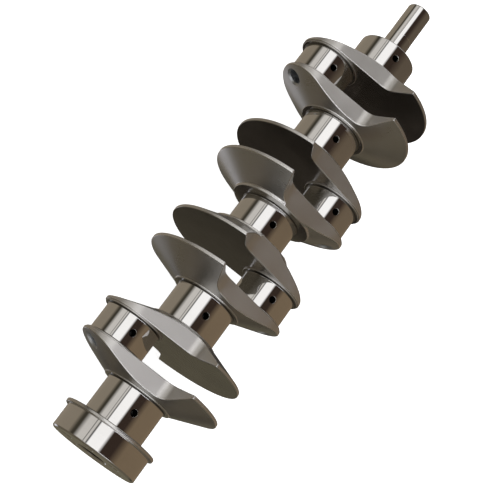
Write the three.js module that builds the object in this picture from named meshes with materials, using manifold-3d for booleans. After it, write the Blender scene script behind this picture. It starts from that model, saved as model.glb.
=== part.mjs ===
// Crankshaft of a small inline four-cylinder engine: five main journals, four crankpins,
// eight counterweighted webs, a plain nose in front and a flywheel flange behind.
//
// Millimetres. +X runs along the axis of rotation towards the nose. +Y is the throw of the
// first and fourth crankpins; the second and third lie at -Y. +Z is square to the throws.
// The origin is on the axis of rotation, halfway along the shaft.
import * as THREE from 'three';
import { mergeVertices } from 'three/addons/utils/BufferGeometryUtils.js';
import Module from 'manifold-3d';

// ---- driving dimensions -------------------------------------------------------------
// Stations marked "from the middle main" are measured along X from the third main bearing.
const BORE_SPACING = 95;              // from one main bearing to the next
const MAIN_RADIUS = 27;
const PIN_RADIUS = 24.6;
const THROW = 38.8;                   // half the stroke
const FRONT_END = 257.2;              // end of the nose, from the middle main
const REAR_END = -231.8;              // back of the flange, from the middle main
const MIDDLE_X = -(FRONT_END + REAR_END) / 2;

const HUB_FACE = 16;                  // main bearing centre to the face of a web
const THRUST_FACE = 15.2;             // the same at the middle bearing, which takes the thrust
const INNER_FACE = 13.6;              // crankpin centre to the flat face of a web
const PIN_COLLAR_FACE = 12.6;         // crankpin centre to the raised ring round the pin
const PIN_COLLAR_RADIUS = 27.6;
const HUB_RADIUS = 31.5;              // machined ring round an ordinary main journal
const THRUST_RADIUS = 37.5;           // larger ring round the middle main journal
const HUB_STEP = 0.8;                 // how far that ring stands above the cone
const THRUST_STEP = 2.2;

const WEB_RADIUS = 66.5;              // turned outside of the counterweights
const RIM_WIDTH = 2.8;                // thickness of a counterweight at its edge
const PIN_END_RADIUS = 28.6;          // rounded end of the web, round the crankpin
const ARM_FLARE = THREE.MathUtils.degToRad(10);
const NOTCH_REACH = 8;                // length of each tangent of the fillet in the notch
const END_SHOULDER = THREE.MathUtils.degToRad(75);       // half the counterweight's sector
const MIDDLE_SHOULDER = THREE.MathUtils.degToRad(68);
const END_NOTCH = -7.5;               // where arm and counterweight meet, along the throw
const MIDDLE_NOTCH = -12.5;

const LIGHTENING_RADIUS = 6.5;        // drilled into the crankpin from the web behind it
const LIGHTENING_REACH = 56.5;        // main axis to the mouth of that hole
const LIGHTENING_DEPTH = 24;          // measured along the hole, which is square to the cone
const OIL_RADIUS = 2.8;
const OIL_DEPTH = 12;
const OIL_OFFSET = 1.2;               // the oil holes are drilled this far towards +Y

const MAIN_FRONT = 201.3;             // front shoulder of the first main, from the middle main
const MAIN_CHAMFER = 1;
const SLINGER_FRONT = -207.4;         // collar behind the last main, from the middle main
const SLINGER_REAR = -210.9;
const SLINGER_RADIUS = 41.8;
const SLINGER_ROUND = 1.6;
const FLANGE_RADIUS = 39;
const FLANGE_CHAMFER = 1.2;
const PILOT_RADIUS = 13;              // spigot bearing bore
const PILOT_DEPTH = 18;
const BOLT_COUNT = 6;
const BOLT_CIRCLE_RADIUS = 26;
const BOLT_RADIUS = 4.2;
const BOLT_DEPTH = 17;
const NOSE_RADIUS = 11.55;
const NOSE_SEAT_END = 222;            // end of the ground seat, from the middle main
const NOSE_RELIEF = 0.1;              // the nose is this much smaller beyond the seat
const NOSE_CHAMFER = 1.2;
const NOSE_BOLT_RADIUS = 4.2;
const NOSE_BOLT_DEPTH = 32;
const KEY_WIDTH = 4.8;
const KEY_RADIUS = 9.5;
const KEY_CENTRE_X = 213;             // along the nose, from the middle main
const KEY_CENTRE_Z = -14;
const KEY_FLAT_Z = -13.4;             // flat top of the key, outside the nose
const FIT_GAP = 0.3;

const ROUND_SEGMENTS = 48;
const WEB_SEGMENTS = 56;
const HOLE_SEGMENTS = 12;
const ARC_STEPS = 8;

const MAIN_X = [2, 1, 0, -1, -2].map((step) => step * BORE_SPACING + MIDDLE_X);
const PIN_X = [1.5, 0.5, -0.5, -1.5].map((step) => step * BORE_SPACING + MIDDLE_X);
const PIN_SIDE = [1, -1, -1, 1];
const THRUST_MAIN = 2;

// ---- materials ----------------------------------------------------------------------
function steel(color, roughness) {
  return new THREE.MeshStandardMaterial({ color, roughness, metalness: 1 });
}
const groundSteel = steel(0xbdb8b0, 0.16);
const milledSteel = steel(0x9a948a, 0.42);
const turnedSteel = steel(0xa9a398, 0.28);
const keySteel = steel(0x6c6862, 0.4);

// ---- solids -------------------------------------------------------------------------
const wasm = await Module();
wasm.setup();

function solidOf(geometry) {
  geometry.deleteAttribute('normal');
  geometry.deleteAttribute('uv');
  const merged = mergeVertices(geometry, 1e-4);
  return new wasm.Manifold(new wasm.Mesh({
    numProp: 3,
    vertProperties: new Float32Array(merged.attributes.position.array),
    triVerts: new Uint32Array(merged.index.array),
  }));
}

function geometryOf(solid) {
  const mesh = solid.getMesh();
  const geometry = new THREE.BufferGeometry();
  geometry.setAttribute('position', new THREE.BufferAttribute(new Float32Array(mesh.vertProperties), 3));
  geometry.setIndex(new THREE.BufferAttribute(new Uint32Array(mesh.triVerts), 1));
  geometry.computeVertexNormals();
  return geometry;
}

// A turned solid about a line parallel to X. The profile lists [x, radius] with rising x.
function turned(profile, segments = ROUND_SEGMENTS, y = 0) {
  const points = profile.map(([x, radius]) => new THREE.Vector2(radius, x));
  const geometry = new THREE.LatheGeometry(points, segments);
  geometry.rotateZ(-Math.PI / 2);
  geometry.translate(0, y, 0);
  return solidOf(geometry);
}

function barX(x0, x1, radius, y = 0, segments = ROUND_SEGMENTS) {
  return turned([[x0, 0], [x0, radius], [x1, radius], [x1, 0]], segments, y);
}

function holeX(x0, x1, radius, y = 0, z = 0) {
  return barX(x0, x1, radius, y, HOLE_SEGMENTS).translate([0, 0, z]);
}

// An oil hole drilled down from the top of a journal whose centre line is at y.
function oilHole(x, y, journalRadius) {
  const length = OIL_DEPTH + 1;
  const geometry = new THREE.CylinderGeometry(OIL_RADIUS, OIL_RADIUS, length, HOLE_SEGMENTS);
  geometry.rotateX(Math.PI / 2);
  geometry.translate(x, y + OIL_OFFSET, journalRadius + 1 - length / 2);
  return solidOf(geometry);
}

function namedMesh(name, solid, material) {
  const mesh = new THREE.Mesh(geometryOf(solid), material);
  mesh.name = name;
  return mesh;
}

// ---- journals -----------------------------------------------------------------------
function hubFace(mainIndex) {
  return mainIndex === THRUST_MAIN ? THRUST_FACE : HUB_FACE;
}

function makeMainJournal(index) {
  const x = MAIN_X[index];
  const rear = index === 4 ? SLINGER_FRONT + MIDDLE_X : x - hubFace(index);
  const front = index === 0 ? MAIN_FRONT + MIDDLE_X : x + hubFace(index);
  const profile = [[rear, 0], [rear, MAIN_RADIUS], [front, MAIN_RADIUS], [front, 0]];
  if (index === 0) {
    profile.splice(2, 1, [front - MAIN_CHAMFER, MAIN_RADIUS], [front, MAIN_RADIUS - MAIN_CHAMFER]);
  }
  const solid = turned(profile).subtract(oilHole(x, 0, MAIN_RADIUS));
  return namedMesh(`main_journal_${index + 1}`, solid, groundSteel);
}

function makeCrankpin(index) {
  const x = PIN_X[index];
  const y = PIN_SIDE[index] * THROW;
  const bore = placeWeb(lighteningHole(rearWeb(index)), index, index + 1);
  const solid = barX(x - PIN_COLLAR_FACE, x + PIN_COLLAR_FACE, PIN_RADIUS, y)
    .subtract(oilHole(x, y, PIN_RADIUS))
    .subtract(bore);
  return namedMesh(`crankpin_${index + 1}`, solid, groundSteel);
}

// ---- webs ---------------------------------------------------------------------------
// Outline of a web in its own plane: the crankpin lies at (THROW, 0), the main journal at
// the origin, and the counterweight spreads towards -x.
function webOutline(notchX, shoulderAngle) {
  const armNormal = new THREE.Vector2(Math.sin(ARM_FLARE), Math.cos(ARM_FLARE));
  const notchY = (PIN_END_RADIUS - armNormal.x * (notchX - THROW)) / armNormal.y;
  const notch = new THREE.Vector2(notchX, notchY);
  const shoulder = new THREE.Vector2(-Math.cos(shoulderAngle), Math.sin(shoulderAngle));
  shoulder.multiplyScalar(WEB_RADIUS);
  const towardsPin = new THREE.Vector2(armNormal.y, -armNormal.x);
  const towardsShoulder = shoulder.clone().sub(notch).normalize();
  const filletStart = notch.clone().addScaledVector(towardsPin, NOTCH_REACH);
  const filletEnd = notch.clone().addScaledVector(towardsShoulder, NOTCH_REACH);
  const half = new THREE.Path();
  half.absarc(THROW, 0, PIN_END_RADIUS, 0, Math.PI / 2 - ARM_FLARE, false);
  half.lineTo(filletStart.x, filletStart.y);
  half.quadraticCurveTo(notch.x, notch.y, filletEnd.x, filletEnd.y);
  half.lineTo(shoulder.x, shoulder.y);
  half.absarc(0, 0, WEB_RADIUS, Math.PI - shoulderAngle, Math.PI, false);
  const points = half.getPoints(ARC_STEPS);
  const mirrored = points.slice(1, -1).reverse().map((point) => new THREE.Vector2(point.x, -point.y));
  return new THREE.Shape([...points, ...mirrored]);
}

// The dimensions of the web between one crankpin and one main journal.
function webShape(pinIndex, mainIndex) {
  const isEndThrow = PIN_SIDE[pinIndex] > 0;
  const isThrust = mainIndex === THRUST_MAIN;
  const length = BORE_SPACING / 2 - INNER_FACE - hubFace(mainIndex);
  const ringRadius = isThrust ? THRUST_RADIUS : HUB_RADIUS;
  const coneTop = length - (isThrust ? THRUST_STEP : HUB_STEP);
  return {
    length,
    ringRadius,
    coneTop,
    slope: (coneTop - RIM_WIDTH) / (WEB_RADIUS - ringRadius),
    notchX: isEndThrow ? END_NOTCH : MIDDLE_NOTCH,
    shoulderAngle: isEndThrow ? END_SHOULDER : MIDDLE_SHOULDER,
  };
}

function rearWeb(pinIndex) {
  return webShape(pinIndex, pinIndex + 1);
}

// Solids of a web are built with its flat face at x = 0, its hub towards +x and its
// crankpin towards +y.
function plateSolid(shape) {
  const plate = new THREE.ExtrudeGeometry(webOutline(shape.notchX, shape.shoulderAngle), {
    depth: shape.length,
    bevelEnabled: false,
  });
  // (x, y, z) -> (z, x, y) turns the outline's plane square to the shaft
  plate.applyMatrix4(new THREE.Matrix4().set(0, 0, 1, 0, 1, 0, 0, 0, 0, 1, 0, 0, 0, 0, 0, 1));
  return solidOf(plate);
}

function coneSolid({ length, ringRadius, coneTop }) {
  return turned([
    [-1, 0],
    [-1, WEB_RADIUS + 1],
    [RIM_WIDTH, WEB_RADIUS + 1],
    [RIM_WIDTH, WEB_RADIUS],
    [coneTop, ringRadius],
    [length, ringRadius],
    [length, 0],
  ], WEB_SEGMENTS);
}

// The lightening hole enters square to the cone and runs on into the crankpin.
function lighteningHole({ slope }) {
  const tilt = THREE.MathUtils.radToDeg(Math.atan(slope));
  const mouthX = RIM_WIDTH + (WEB_RADIUS - LIGHTENING_REACH) * slope;
  return holeX(-LIGHTENING_DEPTH, LIGHTENING_RADIUS, LIGHTENING_RADIUS)
    .rotate([0, 0, tilt])
    .translate([mouthX, LIGHTENING_REACH, 0]);
}

// Turns and shifts a solid built in a web's own frame to its place on the shaft.
function placeWeb(solid, pinIndex, mainIndex) {
  const side = Math.sign(MAIN_X[mainIndex] - PIN_X[pinIndex]);
  return solid
    .rotate([0, side > 0 ? 0 : 180, 0])
    .rotate([PIN_SIDE[pinIndex] > 0 ? 0 : 180, 0, 0])
    .translate([PIN_X[pinIndex] + side * INNER_FACE, 0, 0]);
}

function makeWeb(number, pinIndex, mainIndex) {
  const shape = webShape(pinIndex, mainIndex);
  const collar = barX(PIN_COLLAR_FACE - INNER_FACE, 1, PIN_COLLAR_RADIUS, THROW);
  let web = plateSolid(shape).intersect(coneSolid(shape)).add(collar);
  if (mainIndex > pinIndex) web = web.subtract(lighteningHole(shape));
  return namedMesh(`web_${number}`, placeWeb(web, pinIndex, mainIndex), milledSteel);
}

// ---- rear end -----------------------------------------------------------------------
function makeOilSlinger() {
  const rear = SLINGER_REAR + MIDDLE_X;
  const front = SLINGER_FRONT + MIDDLE_X;
  const shoulder = SLINGER_RADIUS - SLINGER_ROUND;
  const solid = turned([
    [rear, 0],
    [rear, shoulder],
    [rear + SLINGER_ROUND, SLINGER_RADIUS],
    [front - SLINGER_ROUND, SLINGER_RADIUS],
    [front, shoulder],
    [front, 0],
  ]);
  return namedMesh('oil_slinger', solid, turnedSteel);
}

function makeFlywheelFlange() {
  const rear = REAR_END + MIDDLE_X;
  const front = SLINGER_REAR + MIDDLE_X;
  let solid = turned([
    [rear, 0],
    [rear, FLANGE_RADIUS - FLANGE_CHAMFER],
    [rear + FLANGE_CHAMFER, FLANGE_RADIUS],
    [front, FLANGE_RADIUS],
    [front, 0],
  ]).subtract(barX(rear - 1, rear + PILOT_DEPTH, PILOT_RADIUS));
  for (let bolt = 0; bolt < BOLT_COUNT; bolt += 1) {
    const angle = (bolt / BOLT_COUNT) * 2 * Math.PI;
    const y = BOLT_CIRCLE_RADIUS * Math.cos(angle);
    const z = BOLT_CIRCLE_RADIUS * Math.sin(angle);
    solid = solid.subtract(holeX(rear - 1, rear + BOLT_DEPTH, BOLT_RADIUS, y, z));
  }
  return namedMesh('flywheel_flange', solid, groundSteel);
}

// ---- front end ----------------------------------------------------------------------
function keyDisc(radius, width, top) {
  const disc = new THREE.CylinderGeometry(radius, radius, width, 2 * HOLE_SEGMENTS);
  disc.translate(KEY_CENTRE_X + MIDDLE_X, 0, KEY_CENTRE_Z);
  const cutter = new THREE.BoxGeometry(4 * radius, 4 * radius, 4 * radius);
  cutter.translate(KEY_CENTRE_X + MIDDLE_X, 0, top - 2 * radius);
  return solidOf(disc).subtract(solidOf(cutter));
}

function makeNose() {
  const foot = MAIN_FRONT + MIDDLE_X;
  const seatEnd = NOSE_SEAT_END + MIDDLE_X;
  const end = FRONT_END + MIDDLE_X;
  const radius = NOSE_RADIUS - NOSE_RELIEF;
  const solid = turned([
    [foot, 0],
    [foot, NOSE_RADIUS],
    [seatEnd, NOSE_RADIUS],
    [seatEnd, radius],
    [end - NOSE_CHAMFER, radius],
    [end, radius - NOSE_CHAMFER],
    [end, 0],
  ]).subtract(holeX(end - NOSE_BOLT_DEPTH, end + 1, NOSE_BOLT_RADIUS));
  const slot = keyDisc(KEY_RADIUS + FIT_GAP, KEY_WIDTH + 2 * FIT_GAP, -2 * NOSE_RADIUS);
  return namedMesh('nose', solid.subtract(slot), groundSteel);
}

function makeWoodruffKey() {
  return namedMesh('woodruff_key', keyDisc(KEY_RADIUS, KEY_WIDTH, KEY_FLAT_Z), keySteel);
}

// ---- assembly -----------------------------------------------------------------------
const crankshaft = new THREE.Group();
crankshaft.name = 'crankshaft';
crankshaft.add(makeNose());
crankshaft.add(makeWoodruffKey());
for (let index = 0; index < MAIN_X.length; index += 1) crankshaft.add(makeMainJournal(index));
for (let index = 0; index < PIN_X.length; index += 1) {
  crankshaft.add(makeCrankpin(index));
  crankshaft.add(makeWeb(2 * index + 1, index, index));
  crankshaft.add(makeWeb(2 * index + 2, index, index + 1));
}
crankshaft.add(makeOilSlinger());
crankshaft.add(makeFlywheelFlange());

export default crankshaft;
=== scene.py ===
import math

import bmesh
import bpy
from mathutils import Matrix, Vector


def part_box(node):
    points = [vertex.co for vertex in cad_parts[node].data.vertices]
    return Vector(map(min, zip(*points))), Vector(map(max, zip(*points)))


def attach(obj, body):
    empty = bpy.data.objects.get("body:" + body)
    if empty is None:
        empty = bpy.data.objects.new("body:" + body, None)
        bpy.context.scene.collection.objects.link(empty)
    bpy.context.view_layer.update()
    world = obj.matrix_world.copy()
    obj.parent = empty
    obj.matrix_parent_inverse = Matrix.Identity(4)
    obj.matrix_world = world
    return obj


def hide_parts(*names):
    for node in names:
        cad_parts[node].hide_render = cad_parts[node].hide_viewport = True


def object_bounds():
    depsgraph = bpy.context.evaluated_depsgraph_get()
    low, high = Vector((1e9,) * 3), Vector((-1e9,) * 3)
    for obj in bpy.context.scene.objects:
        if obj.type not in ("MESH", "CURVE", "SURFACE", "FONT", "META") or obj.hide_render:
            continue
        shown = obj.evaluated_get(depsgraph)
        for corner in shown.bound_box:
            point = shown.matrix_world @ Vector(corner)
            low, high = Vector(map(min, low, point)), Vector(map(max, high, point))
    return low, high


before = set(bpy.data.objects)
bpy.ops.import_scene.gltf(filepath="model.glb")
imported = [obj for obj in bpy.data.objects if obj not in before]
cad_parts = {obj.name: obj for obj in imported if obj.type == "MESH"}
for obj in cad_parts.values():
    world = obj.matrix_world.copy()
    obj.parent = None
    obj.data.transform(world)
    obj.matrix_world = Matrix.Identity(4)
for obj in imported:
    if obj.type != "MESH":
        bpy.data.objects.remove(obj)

CAD_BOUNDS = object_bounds()

# ---- sizes in millimetres ---------------------------------------------------------------
MM = 0.001
PIN_RADIUS = 24.6
THROW = 38.8
INNER_FACE = 13.6            # middle of a crankpin to the flat face of a web
COLLAR_FACE = 12.6           # middle of a crankpin to the collar raised on that face
COLLAR_RADIUS = 27.6
HUB_RADIUS = 31.5
THRUST_RADIUS = 37.5
HUB_STEP = 0.8
THRUST_STEP = 2.2
THRUST_WEBS = (4, 5)
WEB_RADIUS = 66.5
WEB_BEVEL = 0.55
RIM_WIDTH = 2.8
PIN_END_RADIUS = 28.6
ARM_FLARE = math.radians(10)
NOTCH_REACH = 8
SHOULDER_ROUND = 1.1
END_WEB = {"notch": -7.5, "shoulder": math.radians(75)}
MIDDLE_WEB = {"notch": -12.5, "shoulder": math.radians(68)}
LIGHTENING_RADIUS = 6.5
LIGHTENING_REACH = 56.5      # shaft's axis to the middle of the hole's mouth
LIGHTENING_DEPTH = 24        # without the drill's point
MOUTH_CHAMFER = 1.7
OIL_RADIUS = 2.8
OIL_DEPTH = 12
OIL_OFFSET = 1.2             # oil holes lie this far towards +Y of the journal's axis
OIL_FROM_WEB = 16            # oil hole to the end beside the web, on the first and last main
FILLET = 1.2
OVERLAP = 0.4                # a journal or the nose reaches this far into the piece beside it
FREE_EDGE_ROUND = 0.9        # front edge of the first main, beside the thinner nose
SLINGER_ROUND = 1.1
FLANGE_BEVEL = 1.2
FLANGE_SOFT = 0.4
PILOT_RADIUS = 13.0
PILOT_DEPTH = 18
PILOT_CHAMFER = 1.0
BOLT_COUNT = 6
BOLT_CIRCLE_RADIUS = 26
BOLT_RADIUS = 4.2
BOLT_DEPTH = 17
BOLT_CHAMFER = 0.7
NOSE_BOLT_DEPTH = 32
NOSE_BOLT_CHAMFER = 1.2
DRILL_POINT = 0.55           # length of a drill's point, in radii of the drill
THREAD_GROOVE = 1.25         # width of one groove
THREAD_REPEAT = 1.25         # widths of a groove from one groove to the next
THREAD_DEPTH = 0.55
NOSE_FOOT_FILLET = 1.0
NOSE_SEAT = 20.7             # length of the ground seat
NOSE_RELIEF = 0.15
NOSE_END_ROUND = 1.2
KEY_RADIUS = 9.5
KEY_WIDTH = 4.8
KEY_Z = -14.0
KEY_FLAT_Z = -13.4           # flat top of the key, outside the nose
KEY_GAP = 0.3
KEY_EDGE = 0.45
KEYWAY_FLAT_Z = -23.1        # flat side of the keyway's cutter, well outside the nose
KEYWAY_EDGE = 0.0001         # as good as sharp
RING_EDGE = 0.45             # rounding of the machined ring round a main journal
COLLAR_EDGE = 0.35
ROUND = 224                  # points round a journal
FLANGE_ROUND = 288
COLLAR_ROUND = 160
NOSE_ROUND = 160
HOLE_ROUND = 48
LONG_RUN = 1.2               # a straight run longer than this gets supporting edges
SUPPORT = 0.08               # distance of a supporting edge from the rounding it protects


def span(node):
    """x range, centre y and radius of a turned CAD node, in millimetres."""
    lo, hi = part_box(node)
    return lo[0] / MM, hi[0] / MM, (lo[1] + hi[1]) / 2 / MM, (hi[1] - lo[1]) / 2 / MM


# ---- mesh helpers -----------------------------------------------------------------------
SHARP_ANGLE = math.radians(24)
SLIVER = 0.002               # points closer than this are joined after cutting


def new_object(name, bm):
    """Turns a bmesh drawn in millimetres into an object in metres."""
    bmesh.ops.remove_doubles(bm, verts=bm.verts, dist=1e-4)
    bmesh.ops.dissolve_degenerate(bm, edges=bm.edges, dist=1e-5)
    bmesh.ops.recalc_face_normals(bm, faces=bm.faces)
    bmesh.ops.scale(bm, vec=(MM, MM, MM), verts=bm.verts)
    mesh = bpy.data.meshes.new(name)
    bm.to_mesh(mesh)
    bm.free()
    obj = bpy.data.objects.new(name, mesh)
    bpy.context.scene.collection.objects.link(obj)
    return obj


def supported(profile):
    """The profile with a point close to each end of its long straight runs, which keeps
    the shading of a flat or cylindrical run clear of the rounding beside it."""
    out = [profile[0]]
    for (x0, r0), (x1, r1) in zip(profile, profile[1:]):
        run = math.hypot(x1 - x0, r1 - r0)
        if run > LONG_RUN:
            f = SUPPORT / run
            out.append((x0 + (x1 - x0) * f, r0 + (r1 - r0) * f))
            out.append((x1 - (x1 - x0) * f, r1 - (r1 - r0) * f))
        out.append((x1, r1))
    return out


def bridge(bm, rings):
    """Faces between neighbouring rings of points. A ring may be one point repeated."""
    for first, second in zip(rings, rings[1:]):
        for k in range(len(first)):
            n = (k + 1) % len(first)
            corners = []
            for v in (first[k], first[n], second[n], second[k]):
                if v not in corners:
                    corners.append(v)
            if len(corners) > 2:
                bm.faces.new(corners)


def lathe(name, profile, segments=ROUND, y=0.0, z=0.0):
    """Solid of revolution about a line parallel to X. The profile lists (x, radius)."""
    profile = supported(profile)
    bm = bmesh.new()
    rings = []
    for x, radius in profile:
        if radius < 1e-6:
            rings.append([bm.verts.new((x, y, z))] * segments)
            continue
        ring = []
        for k in range(segments):
            a = 2 * math.pi * k / segments
            ring.append(bm.verts.new((x, y + radius * math.cos(a), z + radius * math.sin(a))))
        rings.append(ring)
    bridge(bm, rings)
    return new_object(name, bm)


def arc(cx, cr, radius, start, end, steps=6):
    """Points (x, r) on a circle in the profile plane. Angles in degrees from +x."""
    points = []
    for k in range(steps + 1):
        a = math.radians(start + (end - start) * k / steps)
        points.append((cx + radius * math.cos(a), cr + radius * math.sin(a)))
    return points


def boolean(obj, tool, operation="DIFFERENCE"):
    """Applies one exact boolean to obj and removes the tool."""
    modifier = obj.modifiers.new("boolean", "BOOLEAN")
    modifier.operation = operation
    modifier.solver = "EXACT"
    modifier.object = tool
    bpy.context.view_layer.update()
    evaluated = obj.evaluated_get(bpy.context.evaluated_depsgraph_get())
    mesh = bpy.data.meshes.new_from_object(evaluated)
    obj.modifiers.clear()
    old = obj.data
    obj.data = mesh
    bpy.data.meshes.remove(old)
    bpy.data.objects.remove(tool)


def drill_x(obj, mouth, depth, radius, chamfer, y=0.0, z=0.0, opens=1, threaded=False):
    """Drills a blind hole along X from its mouth. opens is +1 towards +X and -1 towards -X."""
    inner = mouth - opens * depth
    points = [(inner - opens * radius * DRILL_POINT, 0), (inner, radius)]
    if threaded:
        x = inner + opens * 1.5
        while (mouth - x) * opens > chamfer + 2 * THREAD_GROOVE:
            points += [(x, radius), (x + opens * THREAD_GROOVE * 0.5, radius + THREAD_DEPTH),
                       (x + opens * THREAD_GROOVE, radius)]
            x += opens * THREAD_GROOVE * THREAD_REPEAT
    points += [(mouth - opens * chamfer, radius), (mouth + opens, radius + chamfer + 1), (mouth + opens, 0)]
    boolean(obj, lathe("tool", points, HOLE_ROUND, y, z))


def drill_oil_hole(obj, x, y, journal_radius):
    """Oil hole down from the top of a journal centred on y, with a lead-in round its mouth."""
    y += OIL_OFFSET
    bm = bmesh.new()
    steps = HOLE_ROUND
    levels = [(-OIL_DEPTH, 0.0), (1.5 - OIL_DEPTH, OIL_RADIUS), (-0.75, OIL_RADIUS), (-0.3, OIL_RADIUS + 0.2),
              (0.0, OIL_RADIUS + 0.5), (1.0, OIL_RADIUS + 1.9), (1.0, 0.0)]
    rings = []
    for dz, radius in levels:
        if radius == 0.0:
            rings.append([bm.verts.new((x, y, journal_radius + dz))] * steps)
            continue
        rings.append([bm.verts.new((x + radius * math.cos(2 * math.pi * k / steps),
                                    y + radius * math.sin(2 * math.pi * k / steps),
                                    journal_radius + dz)) for k in range(steps)])
    bridge(bm, rings)
    boolean(obj, new_object("tool", bm))


def clean(mesh):
    """After cutting, joins points that nearly coincide and dissolves edges of no length."""
    bm = bmesh.new()
    bm.from_mesh(mesh)
    bmesh.ops.remove_doubles(bm, verts=bm.verts, dist=SLIVER * MM)
    bmesh.ops.dissolve_degenerate(bm, edges=bm.edges, dist=SLIVER * MM)
    bm.to_mesh(mesh)
    bm.free()


def piece(obj, node, material, others=()):
    """Finishes a piece that stands for one CAD node. others are (material, test) pairs: a
    face takes the first material whose test its centre and normal pass."""
    obj.name = node + "_finished"
    obj.data.name = obj.name
    mesh = obj.data
    clean(mesh)
    mesh.materials.clear()
    mesh.materials.append(MATERIALS[material])
    for k, (other, test) in enumerate(others, 1):
        mesh.materials.append(MATERIALS[other])
        for face in mesh.polygons:
            if face.material_index == 0 and test(face.center / MM, face.normal):
                face.material_index = k
    mesh.shade_smooth()
    mesh.set_sharp_from_angle(angle=SHARP_ANGLE)
    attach(obj, "root")
    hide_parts(node)


# ---- materials --------------------------------------------------------------------------
LINE_HEIGHT = 0.00012        # metres, at a bump strength of 1
GRAIN_HEIGHT = 0.00005


class Nodes:
    """Short calls for building a node tree."""

    def __init__(self, tree):
        self.tree = tree
        tree.nodes.clear()

    def add(self, kind, inputs=None, **properties):
        node = self.tree.nodes.new(kind)
        for key, value in properties.items():
            setattr(node, key, value)
        for key, value in (inputs or {}).items():
            self.set(node.inputs[key], value)
        return node

    def set(self, socket, value):
        if isinstance(value, bpy.types.NodeSocket):
            self.tree.links.new(value, socket)
        else:
            socket.default_value = value

    def math(self, operation, a, b=0.0, c=0.0):
        node = self.add("ShaderNodeMath", {0: a, 1: b, 2: c}, operation=operation)
        return node.outputs[0]

    def remap(self, value, low, high, to_low=0.0, to_high=1.0):
        node = self.add("ShaderNodeMapRange", {"Value": value, "From Min": low, "From Max": high,
                                               "To Min": to_low, "To Max": to_high})
        return node.outputs["Result"]

    def noise(self, vector, scale, detail=3.0, rough=0.5):
        node = self.add("ShaderNodeTexNoise", {"Vector": vector, "Scale": scale, "Detail": detail,
                                               "Roughness": rough})
        return node.outputs["Fac"]

    def combine(self, x, y, z):
        return self.add("ShaderNodeCombineXYZ", {0: x, 1: y, 2: z}).outputs[0]

    def mix(self, factor, a, b):
        node = self.add("ShaderNodeMix", data_type="RGBA")
        self.set(node.inputs["Factor"], factor)
        self.set(node.inputs["A"], a)
        self.set(node.inputs["B"], b)
        return node.outputs["Result"]

    def ramp(self, factor, stops):
        node = self.add("ShaderNodeValToRGB", {"Fac": factor})
        elements = node.color_ramp.elements
        while len(elements) > 1:
            elements.remove(elements[-1])
        elements[0].position, elements[0].color = stops[0]
        for position, color in stops[1:]:
            elements.new(position).color = color
        return node.outputs["Color"]


def steel(name, bright, dull, roughness, lines, line_bump, grain_bump, coordinate, spread):
    """A metal with fine tool lines. Bright and dull tones mix in smudges. coordinate says
    what the lines follow: 'x' for lines round a journal, 'r' for lines turned on a face.
    spread is how much the lines change the gloss and the tone."""
    material = bpy.data.materials.new(name)
    material.use_nodes = True
    n = Nodes(material.node_tree)
    place = n.add("ShaderNodeTexCoord").outputs["Object"]
    axes = n.add("ShaderNodeSeparateXYZ", {0: place})
    x, y, z = axes.outputs[0], axes.outputs[1], axes.outputs[2]
    radius = n.math("SQRT", n.math("ADD", n.math("MULTIPLY", y, y), n.math("MULTIPLY", z, z)))
    across = x if coordinate == "x" else n.math("ADD", radius, n.math("MULTIPLY", x, 0.35))
    along = n.combine(n.math("MULTIPLY", across, lines), n.math("MULTIPLY", y, 14.0),
                      n.math("MULTIPLY", z, 14.0))
    fine = n.combine(n.math("MULTIPLY", across, lines * 3.1), n.math("MULTIPLY", y, 30.0),
                     n.math("MULTIPLY", z, 30.0))
    scratches = n.noise(along, 1.0, 4.0, 0.62)
    hairlines = n.noise(fine, 1.0, 2.0, 0.5)
    smudges = n.noise(place, 28.0, 4.0, 0.6)
    grain = n.noise(place, 1500.0, 3.0, 0.6)
    blend = n.math("MULTIPLY_ADD", smudges, 1.15 - 1.2 * spread, n.math("MULTIPLY", scratches, 1.2 * spread))
    color = n.mix(n.remap(blend, 0.35, 0.8), (*dull, 1), (*bright, 1))
    rough = n.math("ADD", n.remap(scratches, 0.3, 0.75, roughness * (1 - spread), roughness * (1 + spread)),
                   n.remap(smudges, 0.3, 0.75, -0.12 * roughness, 0.22 * roughness))
    height = n.math("ADD", n.math("MULTIPLY", scratches, 0.65), n.math("MULTIPLY", hairlines, 0.35))
    tool = n.add("ShaderNodeBump", {"Strength": line_bump, "Distance": LINE_HEIGHT, "Height": height})
    bump = n.add("ShaderNodeBump", {"Strength": grain_bump, "Distance": GRAIN_HEIGHT, "Height": grain,
                                    "Normal": tool.outputs[0]})
    shader = n.add("ShaderNodeBsdfPrincipled", {"Base Color": color, "Metallic": 1.0, "Roughness": rough,
                                                "Normal": bump.outputs[0]})
    n.add("ShaderNodeOutputMaterial", {"Surface": shader.outputs[0]})
    return material


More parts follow.
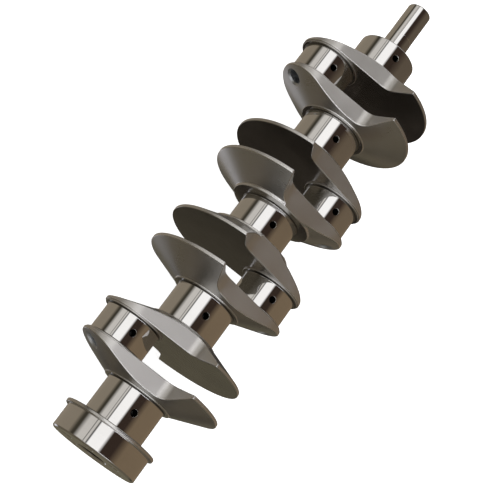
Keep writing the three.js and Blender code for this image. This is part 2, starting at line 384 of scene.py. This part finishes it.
# name: bright tone, dull tone, roughness, lines in a metre, line bump, grain bump,
# coordinate that the lines follow, spread
STEELS = {
    "ground_steel": ((0.645, 0.64, 0.635), (0.60, 0.592, 0.585), 0.036, 1100.0, 0.03, 0.0, "x", 0.2),
    "milled_steel": ((0.565, 0.552, 0.532), (0.515, 0.50, 0.48), 0.40, 2300.0, 0.04, 0.14, "r", 0.1),
    "cone_steel": ((0.515, 0.505, 0.49), (0.485, 0.473, 0.455), 0.30, 2600.0, 0.010, 0.10, "r", 0.06),
    "faced_steel": ((0.53, 0.52, 0.505), (0.48, 0.467, 0.45), 0.21, 1700.0, 0.0, 0.012, "r", 0.05),
    # partly edge wear, partly painted highlight: the bevels' brighter tone also stands in for the thin bright
    # lines light draws along the edges
    "edge_wear_and_painted_highlight": ((0.74, 0.735, 0.73), (0.62, 0.61, 0.60), 0.22, 900.0, 0.05, 0.12, "r", 0.2),
    # painted shade: the journal fillets' dark tone stands in for the shade in the corner beside the web
    "painted_shade_fillet_steel": ((0.13, 0.122, 0.112), (0.085, 0.08, 0.072), 0.30, 1100.0, 0.03, 0.05, "x", 0.1),
    "turned_steel": ((0.56, 0.552, 0.54), (0.50, 0.49, 0.475), 0.28, 1200.0, 0.04, 0.04, "r", 0.2),
    "key_steel": ((0.34, 0.335, 0.32), (0.24, 0.23, 0.22), 0.38, 700.0, 0.10, 0.35, "x", 0.2),
    "drilled_steel": ((0.60, 0.62, 0.645), (0.46, 0.475, 0.495), 0.42, 1300.0, 0.08, 0.1, "r", 0.2),
    # painted shade: near-black tone for the deep walls of the oil holes
    "painted_shade_hole_steel": ((0.03, 0.028, 0.025), (0.012, 0.011, 0.01), 0.45, 900.0, 0.10, 0.20, "x", 0.2),
}
MATERIALS = {name: steel(name, *values) for name, values in STEELS.items()}


# ---- journals and crankpins -------------------------------------------------------------
def journal_profile(x0, x1, radius, fillet_front=True):
    """A ground journal, whose fillets run out on the faces at x0 and x1. Without the front
    fillet it ends there in a free edge."""
    points = [(x0 - OVERLAP, 0), (x0 - OVERLAP, radius + FILLET), (x0, radius + FILLET)]
    points += arc(x0 + FILLET, radius + FILLET, FILLET, 180, 270, 8)[1:]
    if fillet_front:
        points += arc(x1 - FILLET, radius + FILLET, FILLET, 270, 360, 8)
        points += [(x1 + OVERLAP, radius + FILLET), (x1 + OVERLAP, 0)]
    else:
        points += arc(x1 - FREE_EDGE_ROUND, radius - FREE_EDGE_ROUND, FREE_EDGE_ROUND, 90, 0, 5)
        points.append((x1, 0))
    return points


def oil_hole_wall(x, y, radius):
    """The wall of an oil hole below its lead-in is painted near black: painted shade in the deep hole."""
    def test(centre, normal):
        deep = math.sqrt(max(0.0, radius ** 2 - (centre.y - y) ** 2)) - 0.5
        across = math.hypot(centre.x - x, centre.y - y - OIL_OFFSET)
        return across < OIL_RADIUS + 0.1 and 0 < centre.z < deep
    return "painted_shade_hole_steel", test


def fillet_wall(y, radius):
    """The fillets at the ends of a journal are painted dark: painted shade in the corner where the journal
    meets the web.
    """
    def test(centre, normal):
        return math.hypot(centre.y - y, centre.z) > radius + 0.03 and abs(normal.x) > 0.1
    return "painted_shade_fillet_steel", test


def main_journal(number):
    node = f"main_journal_{number}"
    x0, x1, y, radius = span(node)
    obj = lathe(node, journal_profile(x0, x1, radius, number != 1))
    oil_x = {1: x0 + OIL_FROM_WEB, 5: x1 - OIL_FROM_WEB}.get(number, (x0 + x1) / 2)
    drill_oil_hole(obj, oil_x, y, radius)
    piece(obj, node, "ground_steel", [oil_hole_wall(oil_x, y, radius), fillet_wall(y, radius)])


def crankpin(number, hole):
    node = f"crankpin_{number}"
    x0, x1, y, _ = span(node)
    obj = lathe(node, journal_profile(x0, x1, PIN_RADIUS), y=y)
    drill_oil_hole(obj, (x0 + x1) / 2, y, PIN_RADIUS)
    tool, wall = hole
    boolean(obj, tool)
    piece(obj, node, "ground_steel", [oil_hole_wall((x0 + x1) / 2, y, PIN_RADIUS), wall,
                                      fillet_wall(y, PIN_RADIUS)])


# ---- webs -------------------------------------------------------------------------------
def web_outline(notch, shoulder):
    """Outline of a web, anticlockwise: s along the throw, t square to it."""
    normal = Vector((math.sin(ARM_FLARE), math.cos(ARM_FLARE)))
    corner = Vector((notch, (PIN_END_RADIUS - normal.x * (notch - THROW)) / normal.y))
    edge = Vector((-math.cos(shoulder), math.sin(shoulder))) * WEB_RADIUS
    start = corner + Vector((normal.y, -normal.x)) * NOTCH_REACH
    outward = (edge - corner).normalized()
    end = corner + outward * NOTCH_REACH
    half = []
    for k in range(41):
        a = (math.pi / 2 - ARM_FLARE) * k / 40
        half.append(Vector((THROW + PIN_END_RADIUS * math.cos(a), PIN_END_RADIUS * math.sin(a))))
    half += [half[-1].lerp(start, k / 5) for k in range(1, 5)]
    for k in range(15):
        f = k / 14
        half.append(start * (1 - f) ** 2 + corner * 2 * f * (1 - f) + end * f ** 2)
    near = edge - outward * SHOULDER_ROUND
    half += [end.lerp(near, k / 5) for k in range(1, 6)]
    first = math.pi - shoulder + SHOULDER_ROUND / WEB_RADIUS
    after = Vector((WEB_RADIUS * math.cos(first), WEB_RADIUS * math.sin(first)))
    for f in (0.25, 0.5, 0.75):
        half.append(near * (1 - f) ** 2 + edge * 2 * f * (1 - f) + after * f ** 2)
    for k in range(49):
        a = first + (math.pi - first) * k / 48
        half.append(Vector((WEB_RADIUS * math.cos(a), WEB_RADIUS * math.sin(a))))
    mirrored = [Vector((p.x, -p.y)) for p in reversed(half[1:-1])]
    return half + mirrored


def inset(points, distance):
    """The outline moved inwards by distance, vertex by vertex."""
    out = []
    for k, p in enumerate(points):
        before = (p - points[k - 1]).normalized()
        after = (points[(k + 1) % len(points)] - p).normalized()
        n1, n2 = Vector((before.y, -before.x)), Vector((after.y, -after.x))
        out.append(p - (n1 + n2) * (distance / (1 + n1.dot(n2))))
    return out


def face_profile(length, ring, step):
    """(radius, x) of the turned side: machined ring, small step, cone."""
    slope = (length - step - RIM_WIDTH) / (WEB_RADIUS - ring)
    cone = length - step
    soft = RING_EDGE
    points = [(0.0, length), (12.0, length), (24.0, length)]
    points += [(r, x) for x, r in arc(length - soft, ring - soft, soft, 0, 90, 5)]
    foot = min(0.7, step * 0.6)
    for k in range(5):
        a = math.radians(90 * k / 4)
        r = ring + foot * (1 - math.cos(a))
        points.append((r, cone - slope * (r - ring) + foot * (1 - math.sin(a))))
    return points, slope, cone


def height(profile, slope, cone, ring, radius):
    """x of the turned side at a radius."""
    if radius >= profile[-1][0]:
        return cone - slope * (radius - ring)
    for (r0, x0), (r1, x1) in zip(profile, profile[1:]):
        if r0 <= radius < r1:
            return x0 + (x1 - x0) * (radius - r0) / (r1 - r0)
    return profile[-1][1]


def web_mesh(name, length, ring, step, form):
    """A web with its flat face at x = 0, hub towards +x and crankpin towards +y."""
    bevel = WEB_BEVEL
    outer = web_outline(form["notch"], form["shoulder"])
    inner = inset(outer, bevel)
    profile, slope, cone = face_profile(length, ring, step)

    def top(radius):
        return height(profile, slope, cone, ring, radius)

    bm = bmesh.new()
    columns = []
    for o, i in zip(outer, inner):
        reach = i.length
        direction = i.normalized()
        column = []
        for r, x in profile:
            if r > reach:
                r, x = reach, top(reach)
            column.append((x, direction.x * r, direction.y * r))
        last = min(profile[-1][0], reach)
        for f in (0.01, 0.2, 0.4, 0.6, 0.8, 0.93, 0.99, 1.0):
            r = last + (reach - last) * f
            column.append((top(r), direction.x * r, direction.y * r))
        for a in (22.5, 45, 67.5, 90):
            f = math.sin(math.radians(a))
            p = i.lerp(o, f)
            column.append((top(p.length) - bevel * (1 - math.cos(math.radians(a))), p.x, p.y))
        column.append((top(o.length) - bevel - SUPPORT, o.x, o.y))
        column.append((bevel + SUPPORT, o.x, o.y))
        column.append((bevel, o.x, o.y))
        for a in (67.5, 45, 22.5, 0):
            f = math.sin(math.radians(a))
            p = i.lerp(o, f)
            column.append((bevel * (1 - math.cos(math.radians(a))), p.x, p.y))
        column.append((0.0, i.x - direction.x * 0.1, i.y - direction.y * 0.1))
        column.append((0.0, 0.0, 0.0))
        columns.append([bm.verts.new(c) for c in column])
    for k, column in enumerate(columns):
        following = columns[(k + 1) % len(columns)]
        for a in range(len(column) - 1):
            bm.faces.new((column[a], column[a + 1], following[a + 1], following[a]))
    obj = new_object(name, bm)
    face, edge = COLLAR_FACE - INNER_FACE, COLLAR_EDGE
    collar = lathe("collar", [(face, 0)] + arc(face + edge, COLLAR_RADIUS - edge, edge, 180, 90, 4)
                   + [(0.8, COLLAR_RADIUS), (0.8, 0)], COLLAR_ROUND, THROW)
    boolean(obj, collar, "UNION")
    return obj, slope


def lightening_mouth(slope):
    """x of the cone, in the web's own frame, where the lightening hole is drilled."""
    return RIM_WIDTH + (WEB_RADIUS - LIGHTENING_REACH) * slope


def lightening_tool(slope):
    """Tool for the hole that runs from the cone into the crankpin."""
    wide = LIGHTENING_RADIUS + MOUTH_CHAMFER
    tool = lathe("tool", [(-LIGHTENING_DEPTH - 2.5, 0), (-LIGHTENING_DEPTH, LIGHTENING_RADIUS),
                          (-MOUTH_CHAMFER, LIGHTENING_RADIUS), (0, wide), (6, wide + 6), (6, 0)], 64)
    place = Matrix.Translation((lightening_mouth(slope) * MM, LIGHTENING_REACH * MM, 0))
    tool.data.transform(place @ Matrix.Rotation(math.atan(slope), 4, "Z"))
    return tool


def lightening_wall(slope, matrix):
    """The wall of a lightening hole and its mouth keep the drill's duller finish."""
    tilt = math.atan(slope)
    start = (matrix @ Vector((lightening_mouth(slope) * MM, LIGHTENING_REACH * MM, 0))) / MM
    along = matrix.to_3x3() @ Vector((math.cos(tilt), math.sin(tilt), 0))

    def test(centre, normal):
        offset = centre - start
        depth = offset.dot(along)
        return depth < 0.3 and (offset - along * depth).length < LIGHTENING_RADIUS + MOUTH_CHAMFER - 0.05
    return "drilled_steel", test


def web_place(number):
    """Where a web drawn in its own frame goes: its side of the pin, the throw and a matrix."""
    pin = (number + 1) // 2
    side = 1 if number % 2 else -1
    x0, x1, y, _ = span(f"crankpin_{pin}")
    centre = (x0 + x1) / 2
    matrix = Matrix.Translation(((centre + side * INNER_FACE) * MM, 0, 0))
    if y < 0:
        matrix = matrix @ Matrix.Rotation(math.pi, 4, "X")
    if side < 0:
        matrix = matrix @ Matrix.Rotation(math.pi, 4, "Y")
    return side, y, matrix


def web(number):
    """Builds a web. Returns the tool and the wall test of its lightening hole, if it has one."""
    node = f"web_{number}"
    side, y, matrix = web_place(number)
    x0, x1, _, _ = span(node)
    length = (x1 - x0) - (INNER_FACE - COLLAR_FACE)
    ring, step = (THRUST_RADIUS, THRUST_STEP) if number in THRUST_WEBS else (HUB_RADIUS, HUB_STEP)
    obj, slope = web_mesh(node, length, ring, step, END_WEB if y > 0 else MIDDLE_WEB)
    hole = None
    if side < 0:
        boolean(obj, lightening_tool(slope))
        tool = lightening_tool(slope)
        tool.data.transform(matrix)
        hole = tool, lightening_wall(slope, matrix)
    obj.data.transform(matrix)

    # the bevel faces take a brighter tone: partly edge wear, partly painted highlight along the edges
    def wear_and_highlight(centre, normal):
        return abs(normal.x) > 0.12 and math.hypot(centre.y - y, centre.z) > COLLAR_RADIUS + 0.3

    piece(obj, node, "milled_steel", [
        *([hole[1]] if hole else []),
        ("faced_steel", lambda centre, normal: abs(normal.x) > 0.985),
        ("cone_steel", lambda centre, normal: abs(normal.x) > 0.85),
        ("edge_wear_and_painted_highlight", wear_and_highlight),
    ])
    return hole


# ---- rear end ---------------------------------------------------------------------------
def oil_slinger():
    x0, x1, _, radius = span("oil_slinger")
    soft = SLINGER_ROUND
    profile = [(x0, 0)] + arc(x0 + soft, radius - soft, soft, 180, 90, 8)
    profile += arc(x1 - soft, radius - soft, soft, 90, 0, 8) + [(x1, 0)]
    piece(lathe("oil_slinger", profile), "oil_slinger", "turned_steel")


def flywheel_flange():
    x0, x1, _, radius = span("flywheel_flange")
    bevel, soft = FLANGE_BEVEL, FLANGE_SOFT
    profile = [(x0, 0), (x0, radius - bevel - soft)]
    profile += arc(x0 + soft, radius - bevel - 0.1, soft, 180, 135, 2)
    profile += arc(x0 + bevel + 0.1, radius - soft, soft, 135, 90, 2) + [(x1, radius), (x1, 0)]
    obj = lathe("flywheel_flange", profile, FLANGE_ROUND)
    drill_x(obj, x0, PILOT_DEPTH, PILOT_RADIUS, PILOT_CHAMFER, opens=-1)
    for bolt in range(BOLT_COUNT):
        a = 2 * math.pi * bolt / BOLT_COUNT
        drill_x(obj, x0, BOLT_DEPTH, BOLT_RADIUS, BOLT_CHAMFER, BOLT_CIRCLE_RADIUS * math.cos(a),
                BOLT_CIRCLE_RADIUS * math.sin(a), -1, threaded=True)
    piece(obj, "flywheel_flange", "ground_steel")


# ---- front end --------------------------------------------------------------------------
def key_disc(name, x, radius, width, flat_z, bevel):
    """Disc as wide as width across Y, cut off flat below z = flat_z, with bevelled edges."""
    bm = bmesh.new()
    steps = 48
    start = math.asin((flat_z - KEY_Z) / radius)
    outline = []
    for k in range(steps + 1):
        a = start + (math.pi - 2 * start) * k / steps
        outline.append((x + radius * math.cos(a), KEY_Z + radius * math.sin(a)))
    centre = (x, (flat_z + KEY_Z + radius) / 2)
    half = width / 2
    layers = [(-half, bevel), (-half + bevel, 0), (half - bevel, 0), (half, bevel)]
    rings = []
    for y, shrink in layers:
        ring = []
        for px, pz in outline:
            d = Vector((centre[0] - px, centre[1] - pz))
            d = d.normalized() * shrink
            ring.append(bm.verts.new((px + d.x, y, pz + d.y)))
        rings.append(ring)
    bridge(bm, rings)
    bm.faces.new(rings[0])
    bm.faces.new(list(reversed(rings[-1])))
    return new_object(name, bm)


def nose_and_key():
    x0, x1, _, radius = span("nose")
    k0, k1, _, _ = span("woodruff_key")
    key_x = (k0 + k1) / 2
    seat = x0 + NOSE_SEAT
    relief, end, f = NOSE_RELIEF, NOSE_END_ROUND, NOSE_FOOT_FILLET
    profile = [(x0 - OVERLAP, 0), (x0 - OVERLAP, radius + f), (x0, radius + f)]
    profile += arc(x0 + f, radius + f, f, 180, 270, 6)[1:]
    profile += [(seat - 0.25, radius), (seat, radius - relief - 0.1), (seat + 0.35, radius - relief)]
    profile += arc(x1 - 1.5, radius - relief - end, end, 90, 30, 5)
    profile += [(x1 - 0.15, radius - relief - end), (x1, radius - relief - end - 0.15), (x1, 0)]
    obj = lathe("nose", profile, NOSE_ROUND)
    drill_x(obj, x1, NOSE_BOLT_DEPTH, BOLT_RADIUS, NOSE_BOLT_CHAMFER, threaded=True)
    boolean(obj, key_disc("tool", key_x, KEY_RADIUS + KEY_GAP, KEY_WIDTH + 2 * KEY_GAP,
                          KEYWAY_FLAT_Z, KEYWAY_EDGE))
    piece(obj, "nose", "ground_steel")
    key = key_disc("key", key_x, KEY_RADIUS, KEY_WIDTH, KEY_FLAT_Z, KEY_EDGE)
    piece(key, "woodruff_key", "key_steel")


# ---- the shaft --------------------------------------------------------------------------
for number in range(1, 6):
    main_journal(number)
for number in range(1, 5):
    web(2 * number - 1)
    crankpin(number, web(2 * number))
oil_slinger()
flywheel_flange()
nose_and_key()


# ---- floor, light and camera ------------------------------------------------------------
FLOOR_GAP = 0.0004           # metres under the lowest point of the CAD
FLOOR_Z = CAD_BOUNDS[0][2] - FLOOR_GAP
FLOOR_SIZE = 12000           # millimetres from the middle to an edge
FLOOR_GLOW = 0.74            # keeps the floor pale under the shaft


def floor():
    bm = bmesh.new()
    bmesh.ops.create_grid(bm, x_segments=2, y_segments=2, size=FLOOR_SIZE)
    obj = new_object("floor", bm)
    obj.location.z = FLOOR_Z
    material = bpy.data.materials.new("floor")
    material.use_nodes = True
    n = Nodes(material.node_tree)
    place = n.add("ShaderNodeTexCoord").outputs["Object"]
    tone = n.mix(n.noise(place, 3.0), (0.90, 0.90, 0.90, 1), (0.93, 0.93, 0.93, 1))
    shader = n.add("ShaderNodeBsdfPrincipled", {"Base Color": tone, "Roughness": 0.9,
                                                "Specular IOR Level": 0.0,
                                                "Emission Color": (1, 1, 1, 1),
                                                "Emission Strength": FLOOR_GLOW})
    n.add("ShaderNodeOutputMaterial", {"Surface": shader.outputs[0]})
    obj.data.materials.append(material)
    obj.visible_glossy = False


# The studio is a few soft cards and walls, each in one plain tone. In CARDS a card lies
# between two angles, which say where a round journal mirrors it, in degrees from +Y over +Z.
ROOM = (0.20, 0.17, 0.13, 1)
FLAG = (0.04, 0.035, 0.025, 1)
GREY_CARD = (0.50, 0.48, 0.45, 1)
WINDOW = (0.88, 0.87, 0.86, 1)
WINDOW_BAR = (0.01, 0.01, 0.01, 1)
SHADE = (0.03, 0.02, 0.015, 1)
WALL = (0.15, 0.11, 0.07, 1)
FRONT_WALL = (0.09, 0.07, 0.05, 1)
BACK_WALL = (0.10, 0.085, 0.06, 1)
DARK_TABLE = (0.015, 0.012, 0.01, 1)
LIGHT_TABLE = (0.09, 0.08, 0.055, 1)
LAMP = (0.75, 0.75, 0.80, 1)
SIDE_CARD = (1.6, 1.6, 1.7, 1)
LAMP_DIRECTION = (-0.29, 0.14, -0.95)
OVER_REAR_DIRECTION = (-0.45, 0.2, 0.87)
CARD_STRENGTH = 1.62
VIEW_ANGLE = 72.3            # where a journal faces the camera
CARDS = [
    (-17.5, 30, ROOM), (36, 39, FLAG), (45, 53.3, GREY_CARD), (53.6, 54.4, WINDOW_BAR),
    (54.7, 57.4, GREY_CARD), (57.7, 58.6, WINDOW_BAR), (60, 74.4, WINDOW), (78, 90, SHADE),
]


def studio():
    """Plain white light for every surface, and the cards as what the steel mirrors."""
    world = bpy.data.worlds.new("studio")
    bpy.context.scene.world = world
    world.use_nodes = True
    n = Nodes(world.node_tree)
    direction = n.add("ShaderNodeTexCoord").outputs["Generated"]
    axes = n.add("ShaderNodeSeparateXYZ", {0: direction})
    x, y, z = axes.outputs[0], axes.outputs[1], axes.outputs[2]
    turn = n.math("DIVIDE", n.math("DEGREES", n.math("ARCTAN2", z, y)), 360.0)
    turn = n.math("FRACT", n.math("ADD", turn, (180 - VIEW_ANGLE) / 360.0 + 1.0))

    def position(theta):
        return min(max((2 * theta + 180 - 2 * VIEW_ANGLE) / 360.0, 0.0), 1.0)

    def cards(wall, start):
        stops = []
        for first, last, tone in CARDS + [(start, 162, wall)]:
            stops += [(position(first), tone), (position(last), tone)]
        return n.ramp(turn, stops)

    def by_x(stops):
        return n.ramp(n.remap(x, -1.0, 1.0), [((p + 1) / 2, tone) for p, tone in stops])

    # The cards go round the shaft. Towards the rear a darker wall takes their place, with a
    # lamp low in it, and straight below lies the table.
    bands = n.mix(n.remap(x, 0.30, 0.46), cards(WALL, 101), cards(FRONT_WALL, 108))
    dark = by_x([(-0.5, BACK_WALL), (-0.36, FLAG), (-0.3, FLAG), (-0.05, ROOM)])
    table = by_x([(-0.29, DARK_TABLE), (-0.22, LIGHT_TABLE), (0.0, LIGHT_TABLE), (0.12, DARK_TABLE)])
    lamp = n.add("ShaderNodeVectorMath", {0: direction, 1: LAMP_DIRECTION}, operation="DISTANCE")
    dark = n.mix(n.remap(lamp.outputs["Value"], 0.21, 0.0), dark, LAMP)
    aside = n.math("MINIMUM", turn, n.math("SUBTRACT", 1.0, turn))
    room = n.mix(n.remap(x, -0.08, -0.2), bands, dark)
    room = n.mix(n.remap(aside, 0.055, 0.035), room, table)
    # A narrow bright card.
    side = n.math("MULTIPLY", n.remap(x, 0.03, -0.01), n.remap(x, -0.2, -0.14))
    side = n.math("MULTIPLY", side, n.math("MULTIPLY", n.remap(turn, position(64), position(68)),
                                           n.remap(turn, position(98), position(92))))
    room = n.mix(side, room, SIDE_CARD)
    sky = n.ramp(n.remap(z, -1.0, 1.0), [(0.0, (0.09, 0.08, 0.07, 1)), (0.5, (0.28, 0.26, 0.24, 1)),
                                         (0.7, (0.52, 0.51, 0.49, 1)), (1.0, (0.75, 0.75, 0.75, 1))])
    # Beyond both ends and over the rear there is a plain sky, behind a dark flag at the front.
    over_rear = n.add("ShaderNodeVectorMath", {0: direction, 1: OVER_REAR_DIRECTION}, operation="DOT_PRODUCT")
    over_rear = n.math("MULTIPLY", n.remap(over_rear.outputs["Value"], 0.62, 0.82), n.remap(x, -0.3, -0.45))
    behind = n.math("MULTIPLY", n.remap(x, -0.66, -0.82), n.remap(z, 0.05, 0.3))
    ahead = n.remap(x, 0.74, 0.88)
    room = n.mix(n.remap(x, 0.57, 0.68), room, FLAG)
    room = n.mix(n.math("MAXIMUM", ahead, n.math("MAXIMUM", behind, over_rear)), room, sky)
    seen = n.add("ShaderNodeLightPath").outputs["Is Glossy Ray"]
    color = n.mix(seen, (1.0, 1.0, 1.0, 1), room)
    strength = n.remap(seen, 0.0, 1.0, 1.0, CARD_STRENGTH)
    background = n.add("ShaderNodeBackground", {"Color": color, "Strength": strength})
    n.add("ShaderNodeOutputWorld", {"Surface": background.outputs[0]})


CAMERA_PLACE = Vector((-0.30939523, 0.27018331, 0.84524766))
CAMERA_FORWARD = Vector((0.29743517, -0.28819575, -0.91020631))
CAMERA_DOWN = Vector((-0.76674265, -0.64016805, -0.04786004))
SENSOR_WIDTH = 36.0
LENS = 81.838


def camera():
    data = bpy.data.cameras.new("camera")
    obj = bpy.data.objects.new("camera", data)
    bpy.context.scene.collection.objects.link(obj)
    forward = CAMERA_FORWARD.normalized()
    down = CAMERA_DOWN.normalized()
    right = down.cross(forward).normalized()
    down = forward.cross(right)
    basis = Matrix((right, -down, -forward)).transposed().to_4x4()
    obj.matrix_world = Matrix.Translation(CAMERA_PLACE) @ basis
    data.sensor_width = SENSOR_WIDTH
    data.lens = LENS
    data.clip_start = 0.01
    data.clip_end = 50.0
    bpy.context.scene.camera = obj


floor()
studio()
camera()
bpy.context.scene.view_settings.view_transform = "Standard"
